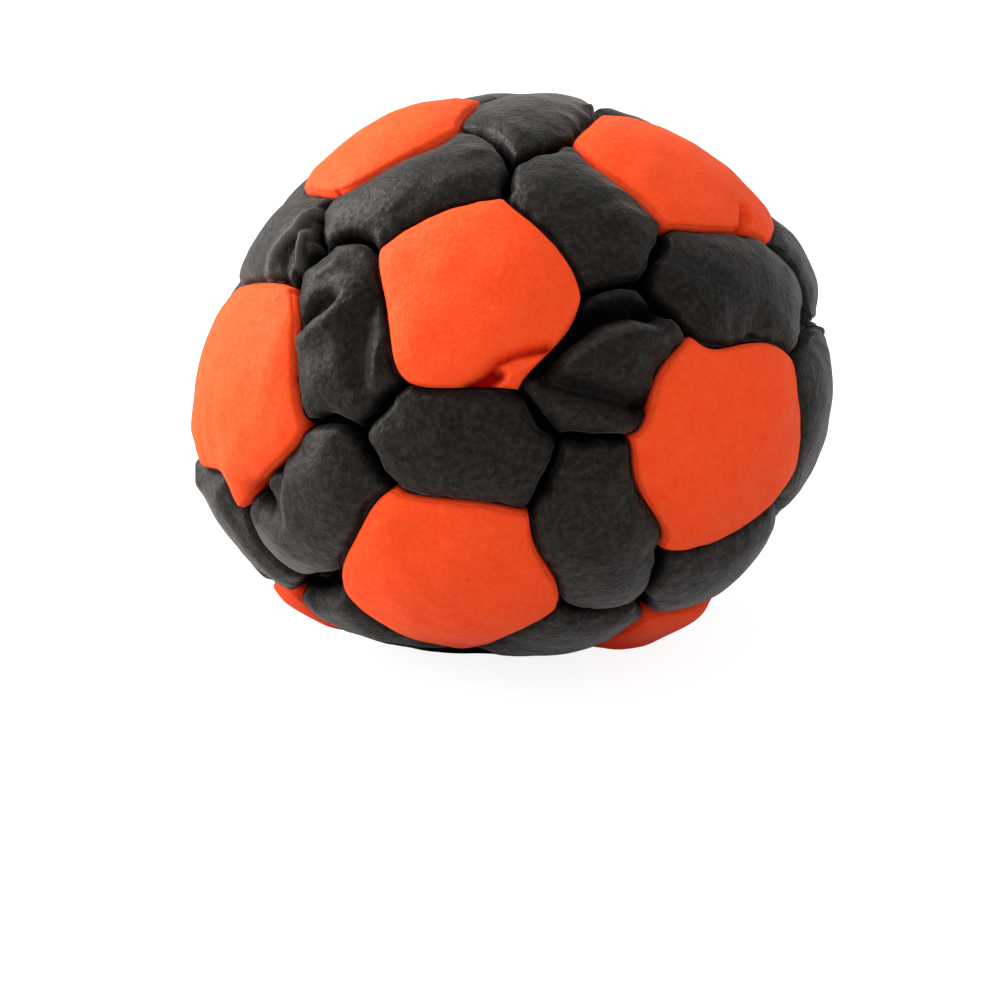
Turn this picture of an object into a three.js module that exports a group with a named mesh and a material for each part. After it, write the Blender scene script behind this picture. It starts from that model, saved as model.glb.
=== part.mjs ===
// A sand-filled footbag sewn from 42 panels of suede: 12 orange pentagons and 30 charcoal hexagons.
// Each panel is a crowned dish whose turned-in rim is its seam allowance. Neighbouring rims lie face
// to face round the seam thread, and the filling fills the bag and the valleys between the rims.
// Millimetres, +Z up. The bag rests on Z = 0 with the origin under its middle, and its front is -Y.
import * as THREE from 'three';
import { mergeVertices } from 'three/addons/utils/BufferGeometryUtils.js';

// Form of the resting bag
const bagWidth = 60.8;
const bagDepth = 58.8;
const bagHeight = 52.1;
const bellyHeight = 25.6;
const pressedDepth = 0.9;

// Where the sand swells past the even form or leaves it slack: azimuth from the front and elevation
// of the place, how far round it reaches, all in degrees, and its height as a share of the largest
const swellHeight = 2;
const swells = [
  { place: [-86, -21], reach: 19, heightShare: 1 },
  { place: [-101, 18], reach: 28, heightShare: -1.05 },
  { place: [-120, 45], reach: 20, heightShare: -0.2 },
  { place: [-142, 66], reach: 20, heightShare: 0.15 },
  { place: [-99, 24], reach: 10, heightShare: -0.2 },
  { place: [-80, -27], reach: 9, heightShare: -0.3 },
  { place: [-74, -38], reach: 8, heightShare: 0.3 },
  { place: [-70, -46], reach: 16, heightShare: 0.6 },
  { place: [-62, -52], reach: 14, heightShare: 0.35 },
  { place: [15, -62], reach: 22, heightShare: -0.2 },
  { place: [64, -46], reach: 15, heightShare: 0.6 },
  { place: [77, -34], reach: 12, heightShare: -0.7 },
  { place: [92, 2], reach: 12, heightShare: -0.25 },
  { place: [100, 22], reach: 16, heightShare: 0.2 },
  { place: [118, 50], reach: 18, heightShare: 0.1 },
  { place: [138, 63], reach: 9, heightShare: 0.3 },
];

// Fabric, seams and filling
const fabricThickness = 0.9;
const crownHeight = 0.5;
const grooveDepth = 2;
// How far below the resting form neighbouring panels are seen to meet
const meetingDepth = 0.6;
const shoulderWidth = 1.6;
const seamAllowance = 3;
const seamGap = 0.3;
const stitchDepth = 1;
const threadDiameter = 0.4;
const clearance = 0.3;
const fillingGap = 0.45;

// Folds of the slack panels
const foldHeight = 1.4;
const foldWidth = 1.5;

// The seams closed by hand after filling, and their ladder stitches
const closingThreadDiameter = 0.3;
const closingDepth = 0.9;
const closingWidth = 0.5;
const closingSeams = ['AFB', 'F:AFB', 'F:FBL'];
const stitchesPerSeam = 6;
const stepsPerStitch = 3;
const closingThreadSegments = 3;

// How far out the rings of points between a panel's middle and its shoulder lie
const plainRingShares = [0.6];
const foldedRingShares = [0.8, 0.55, 0.3];

// Reference view from which the corners are traced: its elevation in degrees, its distance in widths
// of the bag, and in its picture the pixel of the belly's middle and how many pixels span the bag
const viewElevation = 20;
const viewDistanceShare = 7.4;
const pictureMiddle = [511, 376];
const pixelsAcross = 647;
// Proportions of the bag in that view, in shares of its width. The seams are traced on them, and go
// the same way round the bag when one of its sizes changes.
const viewedDepthShare = 0.9671;
const viewedHeightShare = 0.8569;
const viewedBellyShare = 0.42105;

// The pentagons, by the letter that stands for each in the seam corners
const pentagonNames = {
  A: 'front', B: 'left', C: 'low_front', D: 'right', E: 'high_right', F: 'high_left',
  G: 'low_left', H: 'low_right', J: 'back_right', K: 'back_top', L: 'back_left', M: 'back_low',
};
// Azimuth from the front and elevation, in degrees, of the front pentagon and of the left one
const frontPlace = [-8.6, 38.3];
const leftPlace = [-69.3, 6.1];

// Every three neighbouring pentagons stand round a point where three hexagons meet
const triples = [
  'ABC', 'ACD', 'ADE', 'AEF', 'AFB', 'BCG', 'CDH', 'DEJ', 'EFK', 'FBL',
  'CGH', 'DHJ', 'EJK', 'FKL', 'BLG', 'MGH', 'MHJ', 'MJK', 'MKL', 'MLG',
];
// How far a pentagon's corner lies from its middle towards the triple point
const cornerShare = 0.56;
// How far the middle of a pentagon's side bows out, in lengths of the side
const bowShare = 0.05;

// Seam corners as seen in the reference view, in its pixels. ABC is the triple point among pentagons
// A, B and C, and A:ABC is the corner of pentagon A that faces it.
const seenCorners = {
  ABC: [363, 441], ACD: [560, 438], ADE: [645, 284], AEF: [512, 160], AFB: [320, 250], BCG: [303, 580],
  CDH: [641, 602], DEJ: [805, 328],
  'A:AEF': [504, 197], 'A:ADE': [583, 299], 'A:ACD': [519, 391], 'A:ABC': [403, 381],
  'A:AFB': [377, 251],
  'B:ABC': [301, 416], 'B:AFB': [294, 289], 'B:BCG': [244, 508], 'B:FBL': [229, 293],
  'B:BLG': [190, 459],
  'C:ABC': [392, 490], 'C:ACD': [529, 513], 'C:CDH': [561, 606], 'C:BCG': [336, 576],
  'C:CGH': [467, 646],
  'D:ACD': [627, 438], 'D:ADE': [692, 335], 'D:DEJ': [794, 362], 'D:DHJ': [778, 496],
  'D:CDH': [662, 551],
  'E:AEF': [571, 142], 'E:ADE': [667, 228], 'E:DEJ': [770, 244], 'E:EJK': [767, 205],
  'E:EFK': [596, 112],
  'F:AEF': [458, 128], 'F:AFB': [331, 191], 'F:EFK': [482, 100], 'F:FBL': [295, 186],
  'G:BCG': [293, 594], 'G:BLG': [266, 580], 'G:CGH': [333, 632],
  'H:CDH': [649, 617], 'H:CGH': [601, 650], 'H:DHJ': [724, 602],
};
// Middles of seams that bow, each between its two corners
const seenMiddles = {
  'A:AFB A:AEF': [437, 213], 'A:AEF A:ADE': [554, 242], 'A:ADE A:ACD': [560, 343],
  'A:ACD A:ABC': [461, 389], 'A:ABC A:AFB': [386, 316],
  'B:FBL B:AFB': [266, 281], 'B:AFB B:ABC': [296, 352], 'B:ABC B:BCG': [279, 462],
  'B:BCG B:BLG': [224, 475],
  'C:ABC C:ACD': [461, 501], 'C:ACD C:CDH': [538, 554], 'C:CDH C:CGH': [517, 631],
  'C:CGH C:BCG': [393, 627], 'C:BCG C:ABC': [358, 530],
  'D:ADE D:DEJ': [742, 344], 'D:DEJ D:DHJ': [803, 430], 'D:DHJ D:CDH': [722, 539],
  'D:CDH D:ACD': [639, 496], 'D:ACD D:ADE': [655, 391],
  'E:AEF E:ADE': [627, 188], 'E:ADE E:DEJ': [716, 232], 'E:DEJ E:EJK': [773, 224],
  'E:AEF E:EFK': [584, 132],
  'F:AFB F:AEF': [396, 162], 'F:AEF F:EFK': [464, 115], 'F:AFB F:FBL': [317, 194],
  'G:BCG G:CGH': [311, 611],
  'AFB A:AFB': [351, 238], 'AFB B:AFB': [304, 268], 'AFB F:AFB': [325, 228], 'ABC B:ABC': [338, 421],
  'ACD C:ACD': [552, 468], 'ADE A:ADE': [613, 285], 'ADE D:ADE': [669, 311], 'AEF E:AEF': [543, 149],
  'AEF F:AEF': [492, 139], 'BCG B:BCG': [267, 549], 'CDH C:CDH': [598, 612], 'CDH D:CDH': [656, 578],
  'DEJ E:DEJ': [797, 278],
};
// Azimuth from the front and elevation, in degrees, of places that lie just out of sight: a corner,
// and the middles of seams that bow
const hiddenCorners = { 'J:DEJ': [102, 6], EFK: [150, 58], BLG: [-94, -16] };
const hiddenMiddles = {
  'B:FBL B:BLG': [-90, -3],
  'E:EJK E:EFK': [114, 45],
  'F:EFK F:FBL': [-128, 51],
};
// How far round the bag, in degrees, a seen corner's drift from the regular pattern carries
const driftReach = 24;
const driftFade = 0.3;

// Ridges and valleys of the slack panels, each between two pixels of the reference view
const folds = {
  hexagon_front_left: [
    { from: [304, 316], to: [328, 306], heightShare: -0.8 },
    { from: [308, 338], to: [338, 320], heightShare: 0.5 },
    { from: [370, 305], to: [362, 370], heightShare: -0.5 },
  ],
  hexagon_front_right: [
    { from: [560, 346], to: [630, 316], heightShare: -1 },
    { from: [572, 358], to: [662, 332], heightShare: 0.5 },
    { from: [560, 390], to: [638, 406], heightShare: -0.7 },
    { from: [545, 402], to: [612, 424], heightShare: 0.3 },
  ],
  hexagon_left_high_left: [
    { from: [300, 220], to: [258, 275], heightShare: 0.4 },
    { from: [305, 232], to: [275, 282], heightShare: -0.6 },
    { from: [308, 230], to: [292, 285], heightShare: 0.3 },
    { from: [318, 224], to: [312, 262], heightShare: -0.8 },
  ],
};

// Number of straight steps along a seam of a plain panel and of a folded one
const plainSteps = 2;
const foldedSteps = 4;
// Number of steps round the quarter turn of a shoulder, and of halvings that trace a corner
const shoulderSteps = 2;
const traceHalvings = 30;

const radians = THREE.MathUtils.degToRad;

function directionAt([azimuth, elevation]) {
  const flat = Math.cos(radians(elevation));
  return new THREE.Vector3(
    flat * Math.sin(radians(azimuth)),
    -flat * Math.cos(radians(azimuth)),
    Math.sin(radians(elevation)),
  );
}

const swellMiddles = swells.map(({ place }) => directionAt(place));

const restingBag = { width: bagWidth, depth: bagDepth, height: bagHeight, belly: bellyHeight };
const viewedBag = {
  width: bagWidth,
  depth: bagWidth * viewedDepthShare,
  height: bagWidth * viewedHeightShare,
  belly: bagWidth * viewedBellyShare,
};

// Distance from the belly's middle to the resting form that the shoulders reach
function restRadius(direction, { width, depth, height, belly } = restingBag) {
  const halfHeight = direction.z > 0 ? height - belly : belly + pressedDepth;
  const across = Math.hypot(direction.x / (width / 2), direction.y / (depth / 2));
  let radius = 1 / Math.hypot(across, direction.z / halfHeight) - crownHeight;
  swells.forEach(({ reach, heightShare }, i) => {
    const turn = direction.angleTo(swellMiddles[i]) / radians(reach);
    radius += swellHeight * heightShare * Math.exp(-(turn ** 2));
  });
  return radius;
}

// Direction of the point that a pixel of the reference view shows, where neighbouring panels meet
function tracePixel([column, row]) {
  const tilt = radians(viewElevation);
  const forward = new THREE.Vector3(0, Math.cos(tilt), -Math.sin(tilt));
  const up = new THREE.Vector3(0, Math.sin(tilt), Math.cos(tilt));
  const pixel = bagWidth / pixelsAcross;
  const eye = forward.clone().multiplyScalar(-bagWidth * viewDistanceShare);
  const target = new THREE.Vector3((column - pictureMiddle[0]) * pixel, 0, 0);
  target.addScaledVector(up, (pictureMiddle[1] - row) * pixel);
  const ray = target.sub(eye).normalize();
  const isOutside = (point) => {
    return point.length() > restRadius(point.clone().normalize(), viewedBag) - meetingDepth;
  };
  const inner = eye.clone().addScaledVector(ray, -eye.dot(ray));
  if (isOutside(inner)) return inner.normalize();
  const outer = inner.clone().addScaledVector(ray, -bagWidth);
  for (let i = 0; i < traceHalvings; i++) {
    const middle = inner.clone().lerp(outer, 0.5);
    if (isOutside(middle)) outer.copy(middle);
    else inner.copy(middle);
  }
  return inner.normalize();
}

// Middles of the twelve pentagons of the regular pattern, turned so that A and B lie at their places
function pentagonMiddles() {
  const pole = directionAt(frontPlace);
  const first = directionAt(leftPlace);
  first.addScaledVector(pole, -first.dot(pole)).normalize();
  const second = pole.clone().cross(first);
  const tilt = Math.atan(2);
  const middles = { A: pole, M: pole.clone().negate() };
  const place = (letter, fromPole, turn) => {
    middles[letter] = pole.clone().multiplyScalar(Math.cos(fromPole))
      .addScaledVector(first, Math.sin(fromPole) * Math.cos(turn))
      .addScaledVector(second, Math.sin(fromPole) * Math.sin(turn));
  };
  const fifth = (2 * Math.PI) / 5;
  [...'BCDEF'].forEach((letter, i) => place(letter, tilt, i * fifth));
  [...'GHJKL'].forEach((letter, i) => place(letter, Math.PI - tilt, (i + 0.5) * fifth));
  return middles;
}

// All 80 seam corners as directions: the seen ones as traced, the rest as the regular pattern has
// them, drifted as their seen neighbours are
function seamCorners() {
  const middles = pentagonMiddles();
  const regular = {};
  for (const triple of triples) {
    const point = new THREE.Vector3();
    for (const letter of triple) point.add(middles[letter]);
    regular[triple] = point.normalize();
    for (const letter of triple) {
      regular[`${letter}:${triple}`] = middles[letter].clone().lerp(point, cornerShare).normalize();
    }
  }
  const seen = Object.fromEntries(
    Object.entries(seenCorners).map(([name, pixel]) => [name, tracePixel(pixel)]),
  );
  const known = { ...seen };
  for (const name in hiddenCorners) known[name] = directionAt(hiddenCorners[name]);
  const drift = (from) => {
    const shift = new THREE.Vector3();
    let weights = driftFade;
    for (const name in seen) {
      const weight = Math.exp(-((from.angleTo(regular[name]) / radians(driftReach)) ** 2));
      shift.addScaledVector(seen[name], weight).addScaledVector(regular[name], -weight);
      weights += weight;
    }
    return shift.divideScalar(weights);
  };
  return Object.fromEntries(Object.entries(regular).map(
    ([name, point]) => [name, known[name] ?? point.clone().add(drift(point)).normalize()],
  ));
}

// The corner names round each of the 42 panels
function panelOutlines() {
  const outlines = [];
  for (const letter in pentagonNames) {
    const around = triples.filter((triple) => triple.includes(letter));
    const ring = [around.shift()];
    while (around.length) {
      const shared = (triple) => [...triple].filter((other) => ring.at(-1).includes(other)).length;
      ring.push(...around.splice(around.findIndex((triple) => shared(triple) === 2), 1));
    }
    const names = ring.map((triple) => `${letter}:${triple}`);
    outlines.push({ name: `pentagon_${pentagonNames[letter]}`, names, isPentagon: true });
  }
  for (const a in pentagonNames) {
    for (const b in pentagonNames) {
      const shared = triples.filter((triple) => triple.includes(a) && triple.includes(b));
      if (a >= b || shared.length !== 2) continue;
      const [one, two] = shared;
      const names = [one, `${a}:${one}`, `${a}:${two}`, two, `${b}:${two}`, `${b}:${one}`];
      const name = `hexagon_${pentagonNames[a]}_${pentagonNames[b]}`;
      outlines.push({ name, names, isPentagon: false });
    }
  }
  return outlines;
}

const corners = seamCorners();
const pentagons = pentagonMiddles();

// How far the middle of the seam between two corners lies from halfway between them
function seamBow(from, to) {
  const halfway = corners[from].clone().lerp(corners[to], 0.5);
  for (const seam of [`${from} ${to}`, `${to} ${from}`]) {
    if (seam in seenMiddles) return tracePixel(seenMiddles[seam]).sub(halfway);
    if (seam in hiddenMiddles) return directionAt(hiddenMiddles[seam]).sub(halfway);
  }
  if (from[0] !== to[0] || !from.includes(':') || !to.includes(':')) return new THREE.Vector3();
  const length = corners[from].distanceTo(corners[to]);
  return halfway.sub(pentagons[from[0]]).setLength(length * bowShare);
}

// Directions along the seam from one corner up to, but without, the next
function seamDirections(from, to, steps) {
  const bow = seamBow(from, to);
  return Array.from({ length: steps }, (_, i) => {
    const share = i / steps;
    const straight = corners[from].clone().lerp(corners[to], share);
    return straight.addScaledVector(bow, 4 * share * (1 - share)).normalize();
  });
}

// A panel's outline as directions with, at each, the mitred inward normal of its two seam steps
function panelShape({ name, names, isPentagon }, steps) {
  const middle = new THREE.Vector3();
  for (const corner of names) middle.add(corners[corner]);
  middle.normalize();
  const turn = corners[names[0]].clone().cross(corners[names[1]]).dot(middle);
  const order = turn < 0 ? [...names].reverse() : names;
  const directions = order.flatMap((corner, i) => {
    return seamDirections(corner, order[(i + 1) % order.length], steps);
  });
  const count = directions.length;
  const normals = directions.map((direction, i) => {
    return direction.clone().cross(directions[(i + 1) % count]).normalize();
  });
  const points = directions.map((direction, i) => {
    const before = normals[(i + count - 1) % count];
    const inward = before.clone().add(normals[i]).divideScalar(1 + before.dot(normals[i]));
    return { direction, inward };
  });
  const creases = (folds[name] ?? []).map(({ from, to, heightShare }) => {
    return { line: new THREE.Line3(tracePixel(from), tracePixel(to)), height: foldHeight * heightShare };
  });
  return { name, isPentagon, middle, points, creases };
}

// A point of the bag: depth below the resting form, never lower than floor above the ground
function bagPoint(direction, inward, inset, depth, floor) {
  const point = direction.clone().multiplyScalar(restRadius(direction) - depth);
  point.addScaledVector(inward, inset);
  point.z = Math.max(point.z + bellyHeight, floor);
  return point;
}

// A ring of points round a panel, inset from its seams
function insetRing({ points }, inset, depth, floor = 0) {
  return points.map(({ direction, inward }) => bagPoint(direction, inward, inset, depth, floor));
}

// How far the panel's folds lift a point of it
function foldRise({ creases }, direction) {
  const nearest = new THREE.Vector3();
  return creases.reduce((rise, { line, height }) => {
    line.closestPointToPoint(direction, true, nearest);
    const away = (direction.angleTo(nearest) * bagWidth) / 2;
    return rise + height * Math.exp(-((away / foldWidth) ** 2));
  }, 0);
}

// A point inside the shoulder, at a share of the way out from the panel's middle to its brow
function crownPoint(panel, brow, share, depth, floor) {
  const direction = panel.middle.clone().lerp(brow, share).normalize();
  const rise = crownHeight * (1 - share ** 2) + foldRise(panel, direction);
  return bagPoint(direction, panel.middle, 0, depth - rise, floor);
}

// Directions of the brow, where the shoulder meets the crown
function browDirections({ points }) {
  return points.map(({ direction, inward }) => {
    const foot = direction.clone().multiplyScalar(restRadius(direction));
    return foot.addScaledVector(inward, seamGap / 2 + shoulderWidth).normalize();
  });
}

// Triangles between two rings of as many points; the second ring lies on the left of the first
function addBand(triangles, outer, inner) {
  outer.forEach((point, i) => {
    const j = (i + 1) % outer.length;
    triangles.push([point, outer[j], inner[j]], [point, inner[j], inner[i]]);
  });
}

function addFan(triangles, ring, apex) {
  ring.forEach((point, i) => triangles.push([point, ring[(i + 1) % ring.length], apex]));
}

function closedGeometry(triangles) {
  const places = new Float32Array(triangles.flat().flatMap((point) => point.toArray()));
  const geometry = new THREE.BufferGeometry();
  geometry.setAttribute('position', new THREE.BufferAttribute(places, 3));
  const merged = mergeVertices(geometry);
  merged.computeVertexNormals();
  return merged;
}

// The rings of one face of a panel's fabric from the seam line inwards, and the top of its crown.
// The face is a given depth into the fabric, and the shoulder turns through a quarter ellipse.
function faceRings(panel, depth, firstStep) {
  const rings = [];
  for (let i = firstStep; i <= shoulderSteps; i++) {
    const turn = (Math.PI / 2) * (i / shoulderSteps);
    const inset = seamGap / 2 + depth + (shoulderWidth - depth) * (1 - Math.cos(turn));
    const drop = depth + (grooveDepth - depth) * (1 - Math.sin(turn));
    rings.push(insetRing(panel, inset, drop, depth));
  }
  const brows = browDirections(panel);
  for (const share of panel.creases.length ? foldedRingShares : plainRingShares) {
    rings.push(brows.map((brow) => crownPoint(panel, brow, share, depth, depth)));
  }
  return { rings, top: crownPoint(panel, panel.middle, 0, depth, depth) };
}

// A panel of fabric: raw edge, stitch line and outer face, and the inner face back to the raw edge
function panelGeometry(panel) {
  const rimInset = seamGap / 2;
  const rawEdgeDepth = grooveDepth + seamAllowance;
  const stitchInset = rimInset + (threadDiameter + clearance) / 2;
  const outer = faceRings(panel, 0, 0);
  const inner = faceRings(panel, fabricThickness, 1);
  const outside = [
    insetRing(panel, rimInset, rawEdgeDepth),
    insetRing(panel, stitchInset, grooveDepth + stitchDepth),
    ...outer.rings,
  ];
  const inside = [insetRing(panel, rimInset + fabricThickness, rawEdgeDepth), ...inner.rings];
  const triangles = [];
  for (let i = 1; i < outside.length; i++) addBand(triangles, outside[i - 1], outside[i]);
  addFan(triangles, outside.at(-1), outer.top);
  for (let i = 1; i < inside.length; i++) addBand(triangles, inside[i], inside[i - 1]);
  addFan(triangles, [...inside.at(-1)].reverse(), inner.top);
  addBand(triangles, inside[0], outside[0]);
  return closedGeometry(triangles);
}

// The seam thread runs round every panel, midway between the rims, and is joined at the corners
function threadGeometry(panels) {
  const depth = grooveDepth + stitchDepth;
  const radius = threadDiameter / 2;
  const triangles = [];
  for (const panel of panels) {
    const top = insetRing(panel, 0, depth - radius);
    const side = insetRing(panel, radius, depth);
    const bottom = insetRing(panel, 0, depth + radius);
    addBand(triangles, top, side);
    addBand(triangles, side, bottom);
  }
  return closedGeometry(triangles);
}

// The closing thread zigzags from lip to lip of the groove of the seams closed last
function closingThreadGeometry() {
  const places = [];
  for (let leg = 1; leg < closingSeams.length; leg++) {
    const [from, to] = [closingSeams[leg - 1], closingSeams[leg]];
    const across = corners[from].clone().cross(corners[to]).normalize();
    seamDirections(from, to, stitchesPerSeam).forEach((direction, i) => {
      const side = i % 2 ? closingWidth / 2 : -closingWidth / 2;
      places.push(bagPoint(direction, across, side, closingDepth, 0));
    });
  }
  const shape = new THREE.Shape().absarc(0, 0, closingThreadDiameter / 2, 0, 2 * Math.PI);
  const route = new THREE.CatmullRomCurve3(places);
  return new THREE.ExtrudeGeometry(shape, {
    extrudePath: route,
    steps: places.length * stepsPerStitch,
    curveSegments: closingThreadSegments,
  });
}

// The filling swells into every panel and drops into a valley round every pair of rims. Under a
// folded panel it is even, and lies lower by all the panel's valleys together.
function fillingGeometry(panels) {
  const under = fabricThickness + fillingGap;
  const turn = Math.PI / 2 / shoulderSteps;
  const bend = shoulderWidth - fabricThickness;
  const brinkInset = seamGap / 2 + under + bend * (1 - Math.cos(turn));
  const brinkDepth = under + (grooveDepth - fabricThickness) * (1 - Math.sin(turn));
  const valleyDepth = grooveDepth + seamAllowance + fillingGap;
  const triangles = [];
  for (const panel of panels) {
    const valley = insetRing(panel, 0, valleyDepth);
    const wall = insetRing(panel, seamGap / 2 + under, valleyDepth);
    const brink = insetRing(panel, brinkInset, brinkDepth, under);
    const slack = panel.creases.reduce((sum, { height }) => sum + Math.max(0, -height), 0);
    const brow = insetRing(panel, seamGap / 2 + shoulderWidth, under + slack, under);
    const even = { ...panel, creases: [] };
    const brows = browDirections(panel);
    const dome = plainRingShares.map((share) => {
      return brows.map((direction) => crownPoint(even, direction, share, under + slack, under));
    });
    const rings = [valley, wall, brink, brow, ...dome];
    for (let i = 1; i < rings.length; i++) addBand(triangles, rings[i - 1], rings[i]);
    addFan(triangles, rings.at(-1), crownPoint(even, panel.middle, 0, under + slack, under));
  }
  return closedGeometry(triangles);
}

function suede(color) {
  return new THREE.MeshStandardMaterial({ color, roughness: 0.95, metalness: 0 });
}

const materials = {
  orange: suede(0xf4511e),
  charcoal: suede(0x33322f),
  thread: new THREE.MeshStandardMaterial({ color: 0x1d1c1b, roughness: 0.6, metalness: 0 }),
  sand: new THREE.MeshStandardMaterial({ color: 0xc9ad7f, roughness: 1, metalness: 0 }),
};

const bag = new THREE.Group();
function addMesh(name, geometry, material) {
  const mesh = new THREE.Mesh(geometry, material);
  mesh.name = name;
  bag.add(mesh);
}

const outlines = panelOutlines();
const panels = outlines.map((outline) => panelShape(outline, plainSteps));
outlines.forEach((outline, i) => {
  const panel = panels[i].creases.length ? panelShape(outline, foldedSteps) : panels[i];
  addMesh(panel.name, panelGeometry(panel), panel.isPentagon ? materials.orange : materials.charcoal);
});
addMesh('seam_thread', threadGeometry(panels), materials.thread);
addMesh('closing_thread', closingThreadGeometry(), materials.thread);
addMesh('sand_filling', fillingGeometry(panels), materials.sand);

export default bag;
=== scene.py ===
# The look of a sand-filled footbag sewn from 42 panels of suede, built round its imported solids.
# Forms are worked out in millimetres and made in metres. +Z is up and the bag's front is -Y.
import math

import bmesh
import bpy
import numpy as np
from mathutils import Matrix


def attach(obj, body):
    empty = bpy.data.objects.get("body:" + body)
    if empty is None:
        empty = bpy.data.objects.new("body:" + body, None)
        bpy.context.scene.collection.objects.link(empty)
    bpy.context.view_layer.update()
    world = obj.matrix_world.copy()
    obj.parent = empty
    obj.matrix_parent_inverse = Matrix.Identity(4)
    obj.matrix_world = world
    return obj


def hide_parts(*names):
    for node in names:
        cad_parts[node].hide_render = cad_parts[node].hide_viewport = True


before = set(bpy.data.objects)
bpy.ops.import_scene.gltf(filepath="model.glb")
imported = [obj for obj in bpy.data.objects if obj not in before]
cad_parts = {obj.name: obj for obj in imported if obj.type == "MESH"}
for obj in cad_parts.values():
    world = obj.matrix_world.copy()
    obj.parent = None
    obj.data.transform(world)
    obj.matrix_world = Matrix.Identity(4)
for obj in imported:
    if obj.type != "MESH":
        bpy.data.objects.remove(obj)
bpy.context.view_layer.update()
MM = 0.001

# Form of the resting bag, as in the part's source
BAG_WIDTH = 60.8
BAG_DEPTH = 58.8
BAG_HEIGHT = 52.1
BELLY_HEIGHT = 25.6
PRESSED_DEPTH = 0.9
CROWN_HEIGHT = 0.5
SWELL_HEIGHT = 2.0
# Swells and hollows of the slack bag: azimuth from the front, elevation and reach in degrees, and the
# share of the swell height
SWELLS = (
    (-86, -21, 19, 1), (-101, 18, 28, -1.05), (-120, 45, 20, -0.2), (-142, 66, 20, 0.15),
    (-99, 24, 10, -0.2), (-80, -27, 9, -0.3), (-74, -38, 8, 0.3), (-70, -46, 16, 0.6),
    (-62, -52, 14, 0.35), (15, -62, 22, -0.2), (64, -46, 15, 0.6), (77, -34, 12, -0.7),
    (92, 2, 12, -0.25), (100, 22, 16, 0.2), (118, 50, 18, 0.1), (138, 63, 9, 0.3),
)

# Fabric, seams and filling
FABRIC_THICKNESS = 0.9
GROOVE_DEPTH = 2.0
SEAM_ALLOWANCE = 3.0
SEAM_GAP = 0.3
STITCH_DEPTH = 1.0
THREAD_DIAMETER = 0.4
CLEARANCE = 0.3
# How a pentagon and a hexagon turn into their seams: depth, width and tightness of the crown over
# the whole panel, of the soft pillow nearer its seams, and of the turn at its edge
PENTAGON_TURNS = ((0.5, 8.0, 1), (0.45, 2.4, 1), (1.15, 0.35, 0.4))
HEXAGON_TURNS = ((0.6, 7.0, 1), (0.6, 3.0, 1), (1.5, 0.8, 0.5))
# Share of the turn at the edge that is left where a pentagon and a hexagon meet
COLOR_SEAM_TURN = 0.32
# How far from the seam line the fabric passes on its way in between the rims
PINCH = 0.03
# How deep folds and pits may reach
DEEPEST = 2.2
# How far below the resting form neighbouring panels are seen to meet
MEETING_DEPTH = 0.6

# Reference view, from which the seams and the folds are traced
VIEW_ELEVATION = 20
VIEW_DISTANCE = 7.4 * BAG_WIDTH
PICTURE_SIZE = 1000
PICTURE_MIDDLE = (511, 376)
PIXELS_ACROSS = 647
# How often the step to the resting form is halved while a pixel is traced
TRACE_HALVINGS = 30

# Pattern of the panels: the pentagons by letter, and the azimuth and elevation of A and B
PENTAGONS = {
    "A": "front", "B": "left", "C": "low_front", "D": "right", "E": "high_right", "F": "high_left",
    "G": "low_left", "H": "low_right", "J": "back_right", "K": "back_top", "L": "back_left",
    "M": "back_low",
}
FRONT_PLACE = (-8.6, 38.3)
LEFT_PLACE = (-69.3, 6.1)
# Where three hexagons meet among three pentagons
TRIPLES = (
    "ABC ACD ADE AEF AFB BCG CDH DEJ EFK FBL CGH DHJ EJK FKL BLG MGH MHJ MJK MKL MLG".split()
)
# Share of the way from a pentagon's middle to a triple at which the pentagon has its corner, and how
# far its hidden seams bow out as a share of their length
CORNER_SHARE = 0.56
BOW_SHARE = 0.05
# How far in degrees a seen corner draws the hidden ones along, and how fast that fades
DRIFT_REACH = 24
DRIFT_FADE = 0.3

# Seam corners as seen in the reference view, in its pixels. ABC is where three charcoal panels meet
# among pentagons A, B and C, and A:ABC is the corner of pentagon A that faces it.
SEEN_CORNERS = {
    "ABC": (357, 437), "ACD": (560, 438), "ADE": (645, 284), "AEF": (512, 160),
    "AFB": (322, 249), "BCG": (303, 580), "CDH": (641, 602), "DEJ": (805, 328),
    "A:AEF": (504, 197), "A:ADE": (583, 299), "A:ACD": (519, 391), "A:ABC": (403, 381),
    "A:AFB": (377, 251), "B:ABC": (302, 428), "B:AFB": (291, 290), "B:BCG": (244, 508),
    "B:FBL": (229, 293), "B:BLG": (190, 454), "C:ABC": (392, 490), "C:ACD": (527, 515),
    "C:CDH": (559, 606), "C:BCG": (340, 576), "C:CGH": (467, 646), "D:ACD": (631, 438),
    "D:ADE": (692, 335), "D:DEJ": (794, 362), "D:DHJ": (778, 496), "D:CDH": (662, 551),
    "E:AEF": (573, 140), "E:ADE": (668, 226), "E:DEJ": (770, 244), "E:EJK": (767, 205),
    "E:EFK": (600, 115), "F:AEF": (458, 128), "F:AFB": (337, 191), "F:EFK": (482, 100),
    "F:FBL": (301, 190), "G:BCG": (295, 597), "G:BLG": (266, 585), "G:CGH": (333, 632),
    "H:CDH": (649, 617), "H:CGH": (588, 652), "H:DHJ": (724, 602),
}
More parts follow.
